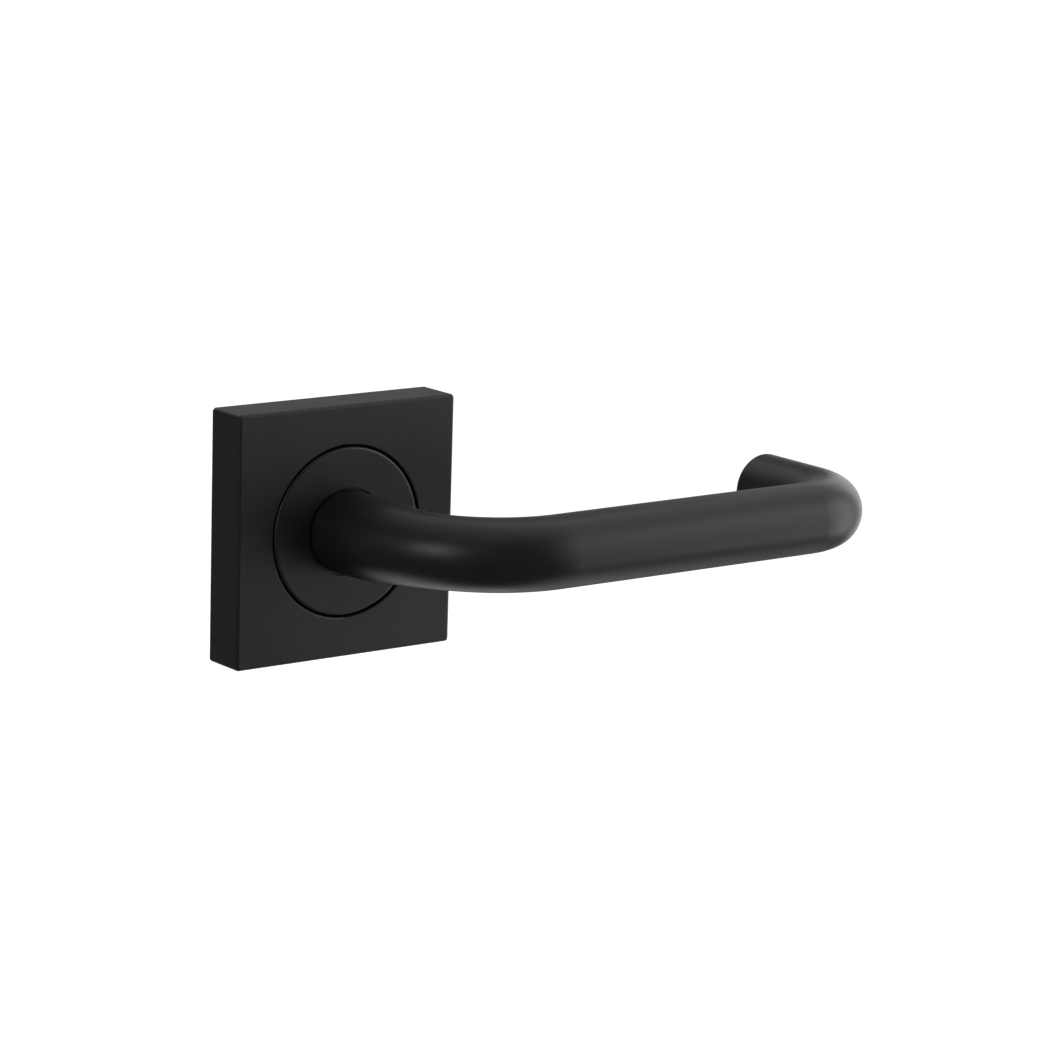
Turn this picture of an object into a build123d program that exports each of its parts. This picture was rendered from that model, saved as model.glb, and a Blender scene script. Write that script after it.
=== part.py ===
from build123d import *
import os
from math import asin, cos, degrees, pi, radians, sin, sqrt

# A sprung lever handle on a square rose, for one side of a door.
# The door's face is the plane y = 0 and the door lies behind it, at +Y.
# The spindle turns about the Y axis, the lever points along +X, and +Z is up.
# Every "out" is a distance from the door's face towards the user, so out = -y.

# ---- driving dimensions, in millimetres ----

# clearances
running = 0.05  # radial and axial play of a turning fit
cover_play = 0.3  # cover over the base plate, each side
rim_gap = 0.42  # visible ring between the cover's opening and the collar
neck_gap = 0.28  # visible ring between the collar and the neck

# rose cover
rose_width = 52.0
rose_out = 10.0
cover_wall = 2.0
cover_front = 2.0
cover_edge = 0.6
cover_corner = 0.8
cover_opening_edge = 0.25
pry_width = 8.0
pry_height = 1.2

# base plate
plate_thick = 3.0
plate_corner = 1.5
wood_screw_spacing = 35.0
wood_screw_radius = 2.1
wood_screw_sink_radius = 3.9
post_spacing = 38.0
post_radius = 3.5
post_seat = 1.6
post_reach = 12.0
post_rivet_radius = 2.8
post_thread_radius = 1.65
post_chamfer = 0.5
circlip_recess_radius = 11.8
circlip_recess_depth = 1.2
pocket_outer_margin = 0.1  # spring pocket inside the collar's cup
pocket_inner_margin = 0.3  # spring pocket outside the rear bush

# collar housing: the round disc in the cover's opening and the cup behind it
collar_radius = 17.4
collar_wall = 1.4
collar_front = 1.8
collar_rim = 0.6
flange_radius = 18.6
flange_thick = 1.2
ear_radius = 2.6
housing_screw_circle = 19.9
housing_screw_angles = (30, 150, 210, 330)
screw_radius = 1.25
screw_head_radius = 2.25
screw_head_out = 1.6
screw_head_edge = 0.6
screw_tip_chamfer = 0.3
screw_socket_across = 2.0
screw_socket_depth = 0.9

# bushes
neck_bush_wall = 0.6
neck_bush_flange = 1.95
neck_bush_flange_thick = 0.35
collar_lip = 0.6  # collar left in front of the neck bush
rear_bush_wall = 1.45
rear_bush_flange = 1.0
rear_bush_flange_thick = 0.8

# cover clips
clip_thick = 0.4
clip_width = 5.0
clip_place = 9.8
clip_foot = 3.7
clip_bump_out = 5.7
clip_top_out = 7.2
clip_blade_gap = 0.2  # blade behind the plate's edge
clip_bump_gap = 0.15  # bump clear of the cover's wall
clip_bump_rise = 0.7  # height of the bump's lower slope
clip_lean = 0.3  # blade's tip leans in to lead the cover on
clip_skew = 0.1  # the strip's inner face turns a little earlier than its outer one
clip_edge_margin = 0.5  # plate left beyond the foot
rivet_radius = 1.0
rivet_head_radius = 1.5
rivet_head_out = 0.6
rivet_head_edge = 0.4
rivet_grip = 2.0

# lever
neck_radius = 8.5
grip_radius = 7.5
lever_reach = 103.5
lever_projection = 46.0
neck_start_out = 9.74
neck_lean = 17.4
neck_bend = 24.0
far_bend = 12.5
return_end_out = 17.0
taper_start = 6.0  # along the neck from the rose
taper_length = 20.0
end_edge = 0.4
neck_sections = 18

# hub sleeve, pressed in the lever's neck
journal_radius = 7.5
journal_reach = 2.2
boss_gap = 0.1  # boss smaller than the neck, so that it passes through the collar
boss_flat = 7.65
stem_radius = 6.4
stem_out = 20.0
stem_bottom_gap = 0.6

# drive plate and its stops
drive_thick = 1.2
drive_ear_radius = 15.5
drive_waist_radius = 12.2
turn_each_way = 45.0
stop_play = 0.3  # degrees left before an ear meets its pin
stop_pin_radius = 1.2
stop_pin_place = 13.9
stop_pin_chamfer = 0.2
tab_width = 1.4
tab_inner = 14.1
tab_reach = 3.2
key_flat_depth = 2.0

# return spring
wire = 1.4
coil_radius = 11.6
coil_turns = 2
coil_gap = 0.02
coil_end_gap = 0.11
leg_reach = 15.6
anchor_radius = 0.7
anchor_place = 13.2
anchor_chamfer = 0.15
anchor_front_gap = 0.2  # anchor pin short of the drive plate
leg_play = 0.05

# retaining parts behind the plate
washer_thick = 0.5
washer_radius = 9.4
washer_play = 0.1
spring_washer_thick = 0.35
spring_washer_play = 0.2
circlip_thick = 1.0
circlip_groove_depth = 0.35
circlip_groove_width = 1.1
circlip_width = 2.0
circlip_offset = 0.2  # ring wider at the top than beside the lugs
circlip_lug_radius = 1.5
circlip_lug_hole = 0.85
circlip_lug_place = 8.9
circlip_lug_spread = 2.35

# spindle and its set screw
spindle_across = 8.0
spindle_play = 0.025
spindle_reach = 25.0
spindle_front_gap = 0.2
spindle_chamfer = 0.5
set_screw_radius = 2.5
set_screw_length = 4.0
set_screw_out = 16.0
set_screw_socket_across = 2.5
set_screw_socket_depth = 1.8
set_screw_chamfer = 0.3

# ---- values worked out from them ----

plate_half = rose_width / 2 - cover_wall - cover_play
opening_radius = collar_radius + rim_gap
collar_inner = collar_radius - collar_wall
collar_inside_out = rose_out - collar_front
neck_bush_inner = neck_radius + running
neck_bush_outer = neck_bush_inner + neck_bush_wall
neck_bush_front_out = rose_out - collar_lip
neck_bush_back_out = collar_inside_out - neck_bush_flange_thick
shoulder_out = neck_bush_back_out - running
drive_back_out = shoulder_out - drive_thick
pocket_outer = collar_inner - pocket_outer_margin
rear_bush_inner = journal_radius + running
rear_bush_outer = rear_bush_inner + rear_bush_wall
rear_bush_rim = rear_bush_outer + rear_bush_flange
pocket_inner = rear_bush_rim + pocket_inner_margin
rear_bush_front_out = plate_thick + rear_bush_flange_thick
boss_back_out = rear_bush_front_out + running
groove_radius = journal_radius - circlip_groove_depth
boss_radius = neck_radius - boss_gap
post_place = post_spacing / 2
wire_radius = wire / 2
leg_offset = anchor_radius + wire_radius + leg_play
leg_angle = degrees(asin(leg_offset / coil_radius))
coil_pitch = wire + coil_gap
coil_climb = coil_pitch * (coil_turns - leg_angle / 180)
coil_high_out = drive_back_out - coil_end_gap - wire_radius
coil_low_out = coil_high_out - coil_climb
pocket_out = coil_low_out - wire_radius - coil_end_gap
ear_start = turn_each_way + stop_play + degrees(asin(stop_pin_radius / stop_pin_place))

front = Plane.XZ  # local x is +X, local y is +Z, and it extrudes towards the user
back = Plane(origin=(0, 0, 0), x_dir=(-1, 0, 0), z_dir=(0, 1, 0))  # extrudes into the door


def save(piece, name):
    """Label one finished piece and write its STEP file."""
    piece.part.label = name
    export_step(piece.part, f"parts/{name}.step")


def hexagon_cut(plane, across, depth, *places):
    """Sink a hexagon socket into the piece being built, from a plane."""
    with BuildSketch(plane) as socket:
        with Locations(*places):
            RegularPolygon(across / 2, 6, major_radius=False)
    extrude(socket.sketch, amount=-depth, mode=Mode.SUBTRACT)


os.makedirs("parts", exist_ok=True)

screw_places = [
    (housing_screw_circle * cos(radians(a)), housing_screw_circle * sin(radians(a)))
    for a in housing_screw_angles
]
post_places = [(0, post_place), (0, -post_place)]
stop_places = [(stop_pin_place, 0), (-stop_pin_place, 0)]

# ---- base plate: die-cast, screwed to the door ----

rivet_place = plate_half - clip_foot / 2 - clip_edge_margin
rivet_places = [
    (x * clip_place, z * rivet_place) for x in (-1, 1) for z in (-1, 1)
]

with BuildPart() as base_plate:
    with BuildSketch(front):
        RectangleRounded(2 * plate_half, 2 * plate_half, plate_corner)
    extrude(amount=plate_thick)
    # the coil and its rear leg run in a ring-shaped pocket
    with BuildSketch(front.offset(plate_thick)):
        Circle(pocket_outer)
        Circle(pocket_inner, mode=Mode.SUBTRACT)
    extrude(amount=pocket_out - plate_thick, mode=Mode.SUBTRACT)
    with Locations(back):
        CounterBoreHole(rear_bush_outer, circlip_recess_radius, circlip_recess_depth)
        with Locations(*post_places):
            CounterBoreHole(post_rivet_radius, post_radius, post_seat)
    with Locations(front.offset(plate_thick)):
        with GridLocations(wood_screw_spacing, wood_screw_spacing, 2, 2):
            CounterSinkHole(wood_screw_radius, wood_screw_sink_radius, counter_sink_angle=90)
        with Locations(*screw_places):
            Hole(screw_radius)
        with Locations(*stop_places):
            Hole(stop_pin_radius)
        with Locations((0, anchor_place)):
            Hole(anchor_radius)
        with Locations(*rivet_places):
            Hole(rivet_radius, depth=rivet_grip)
save(base_plate, "base_plate")

# ---- two threaded posts that pass through the door ----

with BuildPart() as fixing_posts:
    with BuildSketch(back.offset(-post_seat)):
        with Locations(*post_places):
            Circle(post_radius)
    extrude(amount=post_seat + post_reach)
    chamfer(fixing_posts.edges().filter_by(GeomType.CIRCLE).group_by(Axis.Y)[-1], post_chamfer)
    with BuildSketch(back.offset(-plate_thick)):
        with Locations(*post_places):
            Circle(post_rivet_radius)
    extrude(amount=plate_thick - post_seat)
    with Locations(back.offset(post_reach)):
        with Locations(*post_places):
            Hole(post_thread_radius, depth=post_reach + post_seat)
save(fixing_posts, "fixing_posts")

# ---- pins pressed in the plate: turning stops and spring anchor ----

with BuildPart() as stop_pins:
    with BuildSketch(front):
        with Locations(*stop_places):
            Circle(stop_pin_radius)
    extrude(amount=shoulder_out - running)
    chamfer(stop_pins.edges().filter_by(GeomType.CIRCLE).group_by(Axis.Y)[0], stop_pin_chamfer)
save(stop_pins, "stop_pins")

with BuildPart() as spring_anchor_pin:
    with BuildSketch(front):
        with Locations((0, anchor_place)):
            Circle(anchor_radius)
    extrude(amount=drive_back_out - anchor_front_gap)
    anchor_rim = spring_anchor_pin.edges().filter_by(GeomType.CIRCLE).group_by(Axis.Y)[0]
    chamfer(anchor_rim, anchor_chamfer)
save(spring_anchor_pin, "spring_anchor_pin")

# ---- bushes ----

with BuildPart() as rear_bush:
    with BuildSketch(front.offset(circlip_recess_depth)):
        Circle(rear_bush_outer)
    extrude(amount=plate_thick - circlip_recess_depth)
    with BuildSketch(front.offset(plate_thick)):
        Circle(rear_bush_rim)
    extrude(amount=rear_bush_flange_thick)
    with Locations(front.offset(rear_bush_front_out)):
        Hole(rear_bush_inner)
save(rear_bush, "rear_bush")

with BuildPart() as neck_bush:
    with BuildSketch(front.offset(collar_inside_out)):
        Circle(neck_bush_outer)
    extrude(amount=neck_bush_front_out - collar_inside_out)
    with BuildSketch(front.offset(neck_bush_back_out)):
        Circle(neck_bush_inner + neck_bush_flange)
    extrude(amount=neck_bush_flange_thick)
    with Locations(front.offset(rose_out)):
        Hole(neck_bush_inner)
save(neck_bush, "neck_bush")

# ---- collar housing: visible disc, cup wall, flange with four ears ----

with BuildPart() as collar_housing:
    with BuildSketch(front.offset(plate_thick)):
        Circle(collar_radius)
    extrude(amount=rose_out - plate_thick)
    fillet(collar_housing.edges().filter_by(GeomType.CIRCLE).group_by(Axis.Y)[0], collar_rim)
    with BuildSketch(front.offset(plate_thick)):
        Circle(flange_radius)
        with Locations(*screw_places):
            Circle(ear_radius)
    extrude(amount=flange_thick)
    with BuildSketch(front.offset(plate_thick)):
        Circle(collar_inner)
    extrude(amount=collar_inside_out - plate_thick, mode=Mode.SUBTRACT)
    with Locations(front.offset(rose_out)):
        Hole(neck_radius + neck_gap)
    with Locations(front.offset(neck_bush_front_out)):
        Hole(neck_bush_outer)
    with Locations(front.offset(plate_thick + flange_thick)):
        with Locations(*screw_places):
            Hole(screw_radius, depth=flange_thick)
save(collar_housing, "collar_housing")

# ---- four pan head screws through the ears ----

head_base_out = plate_thick + flange_thick
head_top_out = head_base_out + screw_head_out
with BuildPart() as housing_screws:
    with BuildSketch(front.offset(head_base_out)):
        with Locations(*screw_places):
            Circle(screw_head_radius)
    extrude(amount=screw_head_out)
    fillet(housing_screws.edges().filter_by(GeomType.CIRCLE).group_by(Axis.Y)[0], screw_head_edge)
    with BuildSketch(front):
        with Locations(*screw_places):
            Circle(screw_radius)
    extrude(amount=head_base_out)
    chamfer(housing_screws.edges().filter_by(GeomType.CIRCLE).group_by(Axis.Y)[-1], screw_tip_chamfer)
    hexagon_cut(front.offset(head_top_out), screw_socket_across, screw_socket_depth, *screw_places)
save(housing_screws, "housing_screws")

# ---- four spring clips that hold the cover, and their rivets ----

# The strip's outline in the YZ plane: a foot on the plate, then a blade with a bump near the cover's wall.
foot_end = rivet_place - clip_foot / 2
foot_top_out = plate_thick + clip_thick
blade = plate_half - clip_blade_gap
blade_inside = blade - clip_thick
bump = rose_width / 2 - cover_wall - clip_bump_gap
tip = blade - clip_lean
strip = [
    (foot_end, plate_thick),
    (blade, plate_thick),
    (blade, clip_bump_out - clip_bump_rise),
    (bump, clip_bump_out),
    (tip, clip_top_out),
    (tip - clip_thick, clip_top_out - clip_skew),
    (bump - clip_thick, clip_bump_out),
    (blade_inside, clip_bump_out - clip_bump_rise + clip_skew),
    (blade_inside, foot_top_out),
    (foot_end, foot_top_out),
]

with BuildPart() as cover_clips:
    for side in (-1, 1):
        for place in (-clip_place, clip_place):
            with BuildSketch(Plane.YZ.offset(place)):
                with BuildLine():
                    Polyline([(-out, side * z) for z, out in strip], close=True)
                make_face()
            extrude(amount=clip_width / 2, both=True)
    with Locations(front.offset(foot_top_out)):
        with Locations(*rivet_places):
            Hole(rivet_radius, depth=clip_thick)
save(cover_clips, "cover_clips")

with BuildPart() as clip_rivets:
    with BuildSketch(front.offset(foot_top_out)):
        with Locations(*rivet_places):
            Circle(rivet_head_radius)
    extrude(amount=rivet_head_out)
    fillet(clip_rivets.edges().filter_by(GeomType.CIRCLE).group_by(Axis.Y)[0], rivet_head_edge)
    with BuildSketch(front.offset(plate_thick - rivet_grip)):
        with Locations(*rivet_places):
            Circle(rivet_radius)
    extrude(amount=foot_top_out - plate_thick + rivet_grip)
save(clip_rivets, "clip_rivets")

# ---- return spring: two coils with both legs up, straddling the anchor pin and the drive tab ----

coil_frame = Plane(
    origin=(0, -coil_low_out, 0),
    x_dir=(-sin(radians(leg_angle)), 0, cos(radians(leg_angle))),
    z_dir=(0, -1, 0),
)
leg_foot = coil_radius * cos(radians(leg_angle))

with BuildPart() as return_spring:
    with BuildLine() as coil:
        Helix(coil_pitch, coil_climb, coil_radius)
    coil_path = coil_frame.from_local_coords(coil.line)
    with BuildSketch(Plane(origin=coil_path @ 0, z_dir=coil_path % 0)):
        Circle(wire_radius)
    sweep(path=coil_path, is_frenet=True)
    for x, out in ((-leg_offset, coil_low_out), (leg_offset, coil_high_out)):
        with Locations((x, -out, leg_foot)):
            Sphere(wire_radius)
        with BuildSketch(Plane(origin=(x, -out, leg_foot), z_dir=(0, 0, 1))):
            Circle(wire_radius)
        extrude(amount=leg_reach - leg_foot)
save(return_spring, "return_spring")

# ---- rose cover ----

with BuildPart() as rose_cover:
    with BuildSketch(front):
        Rectangle(rose_width, rose_width)
    extrude(amount=rose_out)
    fillet(rose_cover.edges().filter_by(Axis.Y), cover_corner)
    fillet(rose_cover.faces().sort_by(Axis.Y)[0].edges(), cover_edge)
    with BuildSketch(front):
        inside = rose_width - 2 * cover_wall
        Rectangle(inside, inside)
    extrude(amount=rose_out - cover_front, mode=Mode.SUBTRACT)
    with Locations(front.offset(rose_out)):
        Hole(opening_radius)
    fillet(rose_cover.edges().filter_by(GeomType.CIRCLE).group_by(Axis.Y)[0], cover_opening_edge)
    # a notch under the bottom edge takes a thin blade to lift the cover
    with BuildSketch(front):
        with Locations((0, -(rose_width - cover_wall) / 2)):
            Rectangle(pry_width, cover_wall)
    extrude(amount=pry_height, mode=Mode.SUBTRACT)
save(rose_cover, "rose_cover")

# ---- lever: a tapering neck, two bends and a short return towards the door ----

lean_turn = radians(neck_lean)
lean_radius = (
    lever_projection - neck_start_out - neck_bend * (1 - sin(lean_turn))
) / sin(lean_turn)


def neck_section_radius(along):
    """Radius of the neck at a distance along its centreline: full, then eased down to the grip's."""
    share = min(1.0, max(0.0, (along - taper_start) / taper_length))
    return grip_radius + (neck_radius - grip_radius) * (1 + cos(pi * share)) / 2


with BuildPart() as lever:
    with BuildLine(Plane.XY) as neck:
        lean = JernArc((0, -neck_start_out), (0, -1), lean_radius, neck_lean)
        JernArc(lean @ 1, lean % 1, neck_bend, 90 - neck_lean)
    neck_path = neck.wires()[0]
    with BuildSketch(front.offset(shoulder_out)):
        Circle(neck_radius)
    extrude(amount=neck_start_out - shoulder_out)
    for step in range(neck_sections + 1):
        share = step / neck_sections
        place = neck_path.position_at(share)
        with BuildSketch(Plane(origin=place, x_dir=(0, 0, 1), z_dir=neck_path.tangent_at(share))):
            Circle(neck_section_radius(share * neck_path.length))
    loft()
    grip_start = neck_path @ 1
    with BuildLine(Plane.XY) as grip:
        straight = Line(grip_start, (lever_reach - far_bend, -lever_projection))
        turn = JernArc(straight @ 1, straight % 1, far_bend, 90)
        Line(turn @ 1, (lever_reach, -return_end_out))
    with BuildSketch(Plane(origin=grip_start, x_dir=(0, 0, 1), z_dir=(1, 0, 0))):
        Circle(grip_radius)
    sweep(path=grip.wires()[0])
    end_rim = lever.faces().filter_by(Plane.XZ).sort_by(Axis.X)[-1].edges()
    fillet(end_rim, end_edge)
    # blind bore for the hub's stem
    with BuildSketch(front.offset(shoulder_out)):
        Circle(stem_radius)
    extrude(amount=stem_out + stem_bottom_gap - shoulder_out, mode=Mode.SUBTRACT)
    # threaded hole for the set screw, on the underside
    with BuildSketch(Plane.XY):
        with Locations((0, -set_screw_out)):
            Circle(set_screw_radius)
    extrude(amount=-2 * neck_radius, mode=Mode.SUBTRACT)
save(lever, "lever")

# ---- hub sleeve: stem, keyed boss, journal and circlip groove, with a square socket right through ----

socket_across = spindle_across + 2 * spindle_play
flat_chord = sqrt(boss_radius**2 - boss_flat**2)

with BuildPart() as hub_sleeve:
    with BuildSketch(front.offset(shoulder_out)):
        Circle(stem_radius)
    extrude(amount=stem_out - shoulder_out)
    with BuildSketch(front.offset(boss_back_out)):
        Circle(boss_radius)
        with Locations((boss_radius + boss_flat, 0), (-boss_radius - boss_flat, 0)):
            Rectangle(2 * boss_radius, 4 * flat_chord, mode=Mode.SUBTRACT)
    extrude(amount=shoulder_out - boss_back_out)
    with BuildSketch(front.offset(boss_back_out)):
        Circle(journal_radius)
    extrude(amount=-boss_back_out - journal_reach)
    groove_start_out = -2 * running
    with BuildSketch(front.offset(groove_start_out)):
        Circle(boss_radius)
        Circle(groove_radius, mode=Mode.SUBTRACT)
    extrude(amount=-circlip_groove_width, mode=Mode.SUBTRACT)
    with BuildSketch(front.offset(stem_out)):
        Rectangle(socket_across, socket_across)
    extrude(amount=-stem_out - journal_reach, mode=Mode.SUBTRACT)
    with BuildSketch(Plane.XY):
        with Locations((0, -set_screw_out)):
            Circle(set_screw_radius)
    extrude(amount=-2 * stem_radius, mode=Mode.SUBTRACT)
save(hub_sleeve, "hub_sleeve")

# ---- drive plate: two ears that meet the stop pins, and a tab that winds the spring ----

far = 2 * drive_ear_radius
with BuildPart() as drive_plate:
    with BuildSketch(front.offset(drive_back_out)):
        Circle(drive_ear_radius)
        for side in (-1, 1):
            with BuildLine():
                Polyline(
                    (0, 0),
                    (side * far * cos(radians(ear_start)), far * sin(radians(ear_start))),
                    (side * far * cos(radians(ear_start)), -far * sin(radians(ear_start))),
                    close=True,
                )
            make_face(mode=Mode.SUBTRACT)
        Circle(drive_waist_radius)
        Circle(boss_radius, mode=Mode.SUBTRACT)
        # the flats of the keyed hole
        flat_centre = boss_flat + key_flat_depth / 2
        with Locations((flat_centre, 0), (-flat_centre, 0)):
            Rectangle(key_flat_depth, 3 * flat_chord)
    extrude(amount=drive_thick)
    tab_radial = drive_ear_radius - tab_inner
    with BuildSketch(front.offset(drive_back_out)):
        with Locations((0, tab_inner + tab_radial / 2)):
            Rectangle(tab_width, tab_radial)
    extrude(amount=-tab_reach)
save(drive_plate, "drive_plate")

# ---- spring washer, thrust washer and circlip behind the plate ----

washer_front_out = washer_thick - running
cone_front_out = circlip_recess_depth - running
spring_washer_bore = journal_radius + spring_washer_play
with BuildPart() as spring_washer:
    with BuildSketch(Plane.XY):
        with BuildLine():
            Polyline(
                (spring_washer_bore, -cone_front_out),
                (washer_radius, -washer_front_out - spring_washer_thick),
                (washer_radius, -washer_front_out),
                (spring_washer_bore, -cone_front_out + spring_washer_thick),
                close=True,
            )
        make_face()
    revolve(axis=Axis.Y)
save(spring_washer, "spring_washer")

with BuildPart() as thrust_washer:
    with BuildSketch(front.offset(-running)):
        Circle(washer_radius)
        Circle(journal_radius + washer_play, mode=Mode.SUBTRACT)
    extrude(amount=washer_thick)
save(thrust_washer, "thrust_washer")

lug_places = [(side * circlip_lug_spread, -circlip_lug_place) for side in (-1, 1)]
lug_gap = 2 * (circlip_lug_spread - circlip_lug_radius)
with BuildPart() as circlip:
    with BuildSketch(front.offset(groove_start_out - circlip_thick)):
        with Locations((0, circlip_offset)):
            Circle(groove_radius + circlip_width)
        with Locations(*lug_places):
            Circle(circlip_lug_radius)
        Circle(groove_radius, mode=Mode.SUBTRACT)
        with Locations((0, -circlip_lug_place)):
            Rectangle(lug_gap, 3 * circlip_width, mode=Mode.SUBTRACT)
        with Locations(*lug_places):
            Circle(circlip_lug_hole, mode=Mode.SUBTRACT)
    extrude(amount=circlip_thick)
save(circlip, "circlip")

# ---- square spindle and the set screw that holds it ----

spindle_front_out = stem_out - spindle_front_gap
with BuildPart() as spindle:
    with BuildSketch(front.offset(spindle_front_out)):
        Rectangle(spindle_across, spindle_across)
    extrude(amount=-(spindle_front_out + spindle_reach))
    ends = spindle.faces().sort_by(Axis.Y)
    chamfer(ends[0].edges() + ends[-1].edges(), spindle_chamfer)
save(spindle, "spindle")

screw_tip = -spindle_across / 2
with BuildPart() as spindle_screw:
    with BuildSketch(Plane.XY.offset(screw_tip)):
        with Locations((0, -set_screw_out)):
            Circle(set_screw_radius)
    extrude(amount=-set_screw_length)
    chamfer(spindle_screw.edges().filter_by(GeomType.CIRCLE), set_screw_chamfer)
    socket_plane = Plane(origin=(0, -set_screw_out, screw_tip - set_screw_length), z_dir=(0, 0, -1))
    hexagon_cut(socket_plane, set_screw_socket_across, set_screw_socket_depth, (0, 0))
save(spindle_screw, "spindle_screw")
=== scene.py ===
from math import cos, radians, sin

import bmesh
import bpy
from mathutils import Matrix, Vector


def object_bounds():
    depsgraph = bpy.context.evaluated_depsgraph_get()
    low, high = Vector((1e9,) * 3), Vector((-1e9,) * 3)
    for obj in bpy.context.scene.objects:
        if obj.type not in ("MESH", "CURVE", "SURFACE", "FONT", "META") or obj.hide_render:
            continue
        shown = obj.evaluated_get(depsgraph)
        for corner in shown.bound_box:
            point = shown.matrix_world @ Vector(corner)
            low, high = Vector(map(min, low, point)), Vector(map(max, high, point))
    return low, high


# A lever handle on a square rose, powder coated black, with its steel and zinc works behind.
# The CAD solids keep their shapes. This script gives them their finishes, and the studio.

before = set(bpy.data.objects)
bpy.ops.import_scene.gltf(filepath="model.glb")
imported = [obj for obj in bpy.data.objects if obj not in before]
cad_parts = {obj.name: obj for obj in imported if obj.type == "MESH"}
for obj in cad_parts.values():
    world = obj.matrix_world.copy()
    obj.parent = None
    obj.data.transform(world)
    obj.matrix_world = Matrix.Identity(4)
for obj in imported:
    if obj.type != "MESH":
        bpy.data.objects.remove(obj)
cad_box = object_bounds()
scene = bpy.context.scene
millimetre = 0.001


# ---- helpers ----

def linear(hex_colour):
    """An sRGB hex colour as linear red, green and blue, with an alpha of 1."""
    values = [int(hex_colour[i:i + 2], 16) / 255 for i in (1, 3, 5)]
    return tuple(v / 12.92 if v <= 0.04045 else ((v + 0.055) / 1.055) ** 2.4 for v in values) + (1.0,)


def add(tree, kind, links=(), **settings):
    """Add one node; settings name its properties or inputs, links are (input, source socket) pairs."""
    node = tree.nodes.new(kind)
    for name, value in settings.items():
        if hasattr(node, name):
            setattr(node, name, value)
        else:
            node.inputs[name.replace("_", " ")].default_value = value
    for name, source in links:
        tree.links.new(source, node.inputs[name])
    return node


def new_material(name, **sockets):
    """An empty material with its shader, whose even values are set on the shader's own sockets."""
    material = bpy.data.materials.new(name)
    material.use_nodes = True
    tree = material.node_tree
    shader = tree.nodes["Principled BSDF"]
    for socket, value in sockets.items():
        shader.inputs[socket.replace("_", " ")].default_value = value
    place = add(tree, "ShaderNodeTexCoord").outputs["Object"]
    return material, tree, shader, place


def grain(tree, place, pitch, detail=2.0, stretch=(1, 1, 1)):
    """Noise whose features are about one pitch (mm) across; stretch lengthens them along an axis."""
    mapping = add(tree, "ShaderNodeMapping", [("Vector", place)], Scale=[1 / s for s in stretch])
    noise = add(
        tree, "ShaderNodeTexNoise", [("Vector", mapping.outputs["Vector"])],
        Scale=1 / (pitch * millimetre), Detail=detail,
    )
    return noise.outputs["Fac"]


def spread(tree, source, low, high):
    """Noise, which seldom leaves its middle third, turned into a number between low and high."""
    return add(
        tree, "ShaderNodeMapRange", [("Value", source)],
        From_Min=0.35, From_Max=0.65, To_Min=low, To_Max=high,
    ).outputs["Result"]


def tones(tree, source, dark, light):
    """Noise turned into a colour between two hex ones."""
    ramp = add(tree, "ShaderNodeValToRGB", [("Fac", source)])
    for element, position, colour in zip(ramp.color_ramp.elements, (0.3, 0.7), (dark, light)):
        element.position = position
        element.color = linear(colour)
    return ramp.outputs["Color"]


def bump(tree, source, depth, strength, under=None):
    """A relief of the given depth in millimetres, laid over another one if there is one."""
    links = [("Height", source)] + ([("Normal", under)] if under else [])
    return add(
        tree, "ShaderNodeBump", links, Distance=depth * millimetre, Strength=strength,
    ).outputs["Normal"]


# ---- finishes ----

def powder_coat():
    """Polyester powder coat, matt black, sprayed on and baked: an even satin film with a faint orange
    peel about 1.4 mm across, a finer grain in it, and slightly glossier places."""
    material, tree, shader, place = new_material("matt_black_powder_coat", Metallic=0.0, IOR=1.5)
    peel = grain(tree, place, 1.4, detail=1.0)
    fine = grain(tree, place, 0.35, detail=2.0)
    cloud = grain(tree, place, 14.0, detail=3.0)
    tree.links.new(tones(tree, cloud, "#191919", "#1d1d1e"), shader.inputs["Base Color"])
    tree.links.new(spread(tree, cloud, 0.38, 0.44), shader.inputs["Roughness"])
    relief = bump(tree, fine, 0.004, 0.5, under=bump(tree, peel, 0.010, 0.6))
    tree.links.new(relief, shader.inputs["Normal"])
    return material


def acetal():
    """Black acetal, injection moulded: waxy and even, with the fine spark texture of its mould."""
    material, tree, shader, place = new_material("black_acetal_moulding", Metallic=0.0, IOR=1.48)
    spark = grain(tree, place, 0.22, detail=3.0)
    tree.links.new(tones(tree, spark, "#0e0e0f", "#141415"), shader.inputs["Base Color"])
    tree.links.new(spread(tree, spark, 0.46, 0.56), shader.inputs["Roughness"])
    tree.links.new(bump(tree, spark, 0.006, 0.6), shader.inputs["Normal"])
    return material


def zinc_casting():
    """Zinc alloy, pressure die-cast and left raw: dull blue-grey with flow marks and fine pits."""
    material, tree, shader, place = new_material("raw_zinc_die_casting", Metallic=1.0)
    flow = grain(tree, place, 6.0, detail=6.0, stretch=(1, 1, 2.5))
    pits = grain(tree, place, 0.5, detail=4.0)
    tree.links.new(tones(tree, flow, "#8b8e92", "#a7aaad"), shader.inputs["Base Color"])
    tree.links.new(spread(tree, flow, 0.42, 0.56), shader.inputs["Roughness"])
    tree.links.new(bump(tree, pits, 0.02, 0.7), shader.inputs["Normal"])
    return material


def plated_steel(name, pitch, stretch):
    """Steel with bright zinc plating over the marks of its making, which are pitch mm wide and stretched
    along the tool's way: pale, faintly blue, with yellower patches where the plating is thick."""
    material, tree, shader, place = new_material(name, Metallic=1.0)
    marks = grain(tree, place, pitch, detail=3.0, stretch=stretch)
    patches = grain(tree, place, 5.0, detail=3.0)
    tree.links.new(tones(tree, patches, "#b9bec4", "#c4c1b4"), shader.inputs["Base Color"])
    tree.links.new(spread(tree, marks, 0.26, 0.40), shader.inputs["Roughness"])
    tree.links.new(bump(tree, marks, 0.004, 0.5), shader.inputs["Normal"])
    return material


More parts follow.
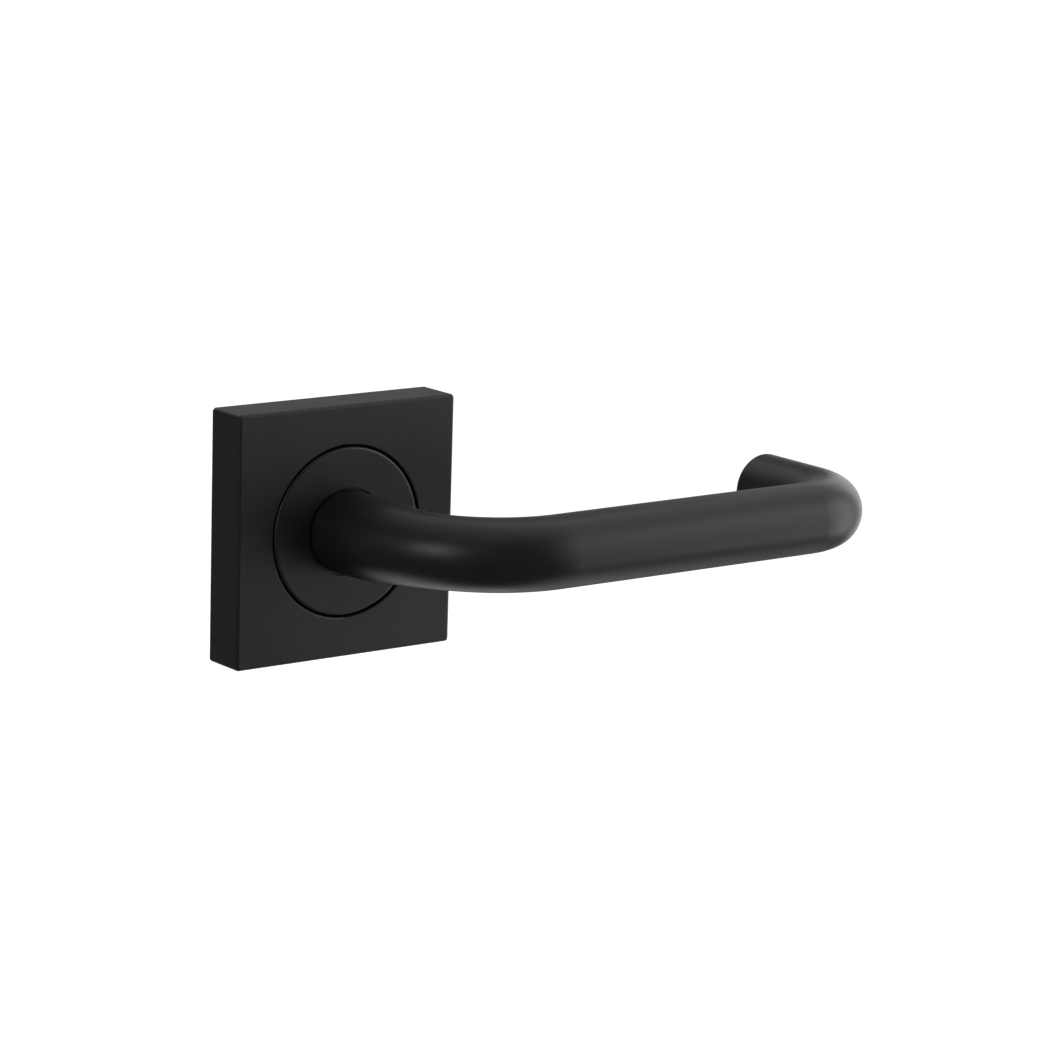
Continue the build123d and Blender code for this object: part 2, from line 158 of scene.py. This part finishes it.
def spring_steel():
    """Tempered spring steel, lightly oiled: dark brown-grey with fine drawing lines."""
    material, tree, shader, place = new_material("oiled_spring_steel", Metallic=1.0)
    lines = grain(tree, place, 0.3, detail=3.0)
    temper = grain(tree, place, 4.0, detail=2.0)
    tree.links.new(tones(tree, temper, "#5d5a56", "#716a60"), shader.inputs["Base Color"])
    tree.links.new(spread(tree, lines, 0.28, 0.40), shader.inputs["Roughness"])
    tree.links.new(bump(tree, lines, 0.004, 0.6), shader.inputs["Normal"])
    return material


def black_oxide():
    """Alloy steel with a black oxide skin: nearly black, dull, browner where it has been handled."""
    material, tree, shader, place = new_material("black_oxide_steel", Metallic=1.0)
    skin = grain(tree, place, 0.4, detail=4.0)
    tree.links.new(tones(tree, skin, "#26262a", "#312e2b"), shader.inputs["Base Color"])
    tree.links.new(spread(tree, skin, 0.38, 0.5), shader.inputs["Roughness"])
    tree.links.new(bump(tree, skin, 0.004, 0.5), shader.inputs["Normal"])
    return material


coat = powder_coat()
plastic = acetal()
oiled = spring_steel()
turned = plated_steel("zinc_plated_turned_steel", 0.15, (40, 1, 40))
stamped = plated_steel("zinc_plated_stamped_steel", 0.4, (1, 1, 6))
drawn = plated_steel("zinc_plated_drawn_bar", 0.12, (1, 25, 1))
finishes = {
    "lever": coat, "rose_cover": coat, "collar_housing": coat,
    "neck_bush": plastic, "rear_bush": plastic, "thrust_washer": plastic,
    "base_plate": zinc_casting(),
    "fixing_posts": turned, "stop_pins": turned, "spring_anchor_pin": turned, "hub_sleeve": turned,
    "housing_screws": turned, "clip_rivets": turned,
    "drive_plate": stamped, "spindle": drawn,
    "return_spring": oiled, "cover_clips": oiled, "spring_washer": oiled, "circlip": oiled,
    "spindle_screw": black_oxide(),
}
for node_name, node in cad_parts.items():
    node.data.materials.clear()
    node.data.materials.append(finishes[node_name])


# ---- studio ----

middle = (Vector(cad_box[0]) + Vector(cad_box[1])) / 2
full_frame = 36  # sensor width, mm
softbox_distance = 0.9
floor_reach = 30.0
white = linear("#ffffff")


def towards(azimuth, elevation):
    """Unit vector from the object; azimuth 0 is the user's side and 90 is the lever's end."""
    a, e = radians(azimuth), radians(elevation)
    return Vector((sin(a) * cos(e), -cos(a) * cos(e), sin(e)))


def add_camera(azimuth, elevation, roll, distance, right_by, up_by, lens):
    """A camera whose line of sight runs right_by and up_by metres off the origin, tilted by roll degrees."""
    back = towards(azimuth, elevation)
    level = Vector((cos(radians(azimuth)), sin(radians(azimuth)), 0))
    upright = back.cross(level)
    turn = radians(roll)
    right = level * cos(turn) + upright * sin(turn)
    up = upright * cos(turn) - level * sin(turn)
    data = bpy.data.cameras.new("studio_camera")
    data.sensor_width = full_frame
    data.lens = lens
    data.clip_end = 100
    camera = bpy.data.objects.new("studio_camera", data)
    scene.collection.objects.link(camera)
    spot = back * distance + right * right_by + up * up_by
    camera.matrix_world = Matrix.Translation(spot) @ Matrix((right, up, back)).transposed().to_4x4()
    scene.camera = camera


def add_softbox(name, azimuth, elevation, width, height, power):
    """A soft white rectangular light that faces the middle of the object; sizes in metres, power in watts."""
    data = bpy.data.lights.new(name, "AREA")
    data.shape = "RECTANGLE"
    data.size = width
    data.size_y = height
    data.energy = power
    lamp = bpy.data.objects.new(name, data)
    scene.collection.objects.link(lamp)
    way = towards(azimuth, elevation)
    facing = way.to_track_quat("Z", "Y").to_matrix().to_4x4()
    lamp.matrix_world = Matrix.Translation(middle + way * softbox_distance) @ facing


def add_surroundings(seen, cast):
    """A white surround as the camera sees it, and a dimmer one that lights the object."""
    world = bpy.data.worlds.new("studio")
    world.use_nodes = True
    scene.world = world
    tree = world.node_tree
    tree.nodes.clear()
    path = add(tree, "ShaderNodeLightPath")
    lit = add(tree, "ShaderNodeBackground", Color=white, Strength=cast)
    shown = add(tree, "ShaderNodeBackground", Color=white, Strength=seen)
    mix = add(tree, "ShaderNodeMixShader", [("Fac", path.outputs["Is Camera Ray"])])
    tree.links.new(lit.outputs[0], mix.inputs[1])
    tree.links.new(shown.outputs[0], mix.inputs[2])
    add(tree, "ShaderNodeOutputWorld", [("Surface", mix.outputs[0])])


def add_floor(drop, glow):
    """A wide pale floor, drop metres below the handle, which hangs in the air as it would on a door. It
    is there to be seen, and throws no light back up at the handle."""
    mesh = bpy.data.meshes.new("studio_floor")
    shape = bmesh.new()
    bmesh.ops.create_grid(shape, x_segments=1, y_segments=1, size=floor_reach)
    bmesh.ops.translate(shape, verts=shape.verts, vec=(0, 0, cad_box[0][2] - drop))
    shape.to_mesh(mesh)
    shape.free()
    floor = bpy.data.objects.new("studio_floor", mesh)
    scene.collection.objects.link(floor)
    material, tree, shader, place = new_material(
        "white_studio_floor", Roughness=0.9, Emission_Color=white, Emission_Strength=glow,
    )
    paint = grain(tree, place, 300.0)
    tree.links.new(tones(tree, paint, "#f1f1f1", "#f4f4f4"), shader.inputs["Base Color"])
    mesh.materials.append(material)
    floor.visible_diffuse = False
    floor.visible_glossy = False


scene.view_settings.view_transform = "Standard"
add_camera(
    azimuth=-37.02, elevation=12.14, roll=1.69, distance=0.806,
    right_by=0.04189, up_by=-0.00055, lens=135.6,
)
add_surroundings(seen=1.0, cast=0.13)
add_floor(drop=0.25, glow=0.95)

# name, azimuth, elevation, width, height, power
softboxes = (
    ("right_front", 65, 0, 0.6, 1.2, 5.6),
    ("right_back", 116, 0, 0.5, 0.9, 2.8),
    ("right_high", 85, 45, 0.8, 0.4, 0.8),
    ("front_fill", 38, 12, 0.5, 0.8, 0.7),
    ("left", -73, 17, 0.3, 0.35, 1.3),
    ("top", 0, 85, 1.0, 1.0, 1.3),
    ("top_back", 135, 62, 0.5, 0.5, 0.5),
    ("back_high", 180, 38, 0.6, 0.5, 0.65),
    ("back_mid", 150, 10, 0.6, 0.3, 0.18),
    ("back_low", 165, -14, 0.8, 0.4, 1.2),
    ("below_right", 100, -58, 0.8, 0.5, 0.85),
    ("below_back", 175, -58, 0.8, 0.6, 1.3),
)
for softbox in softboxes:
    add_softbox(*softbox)
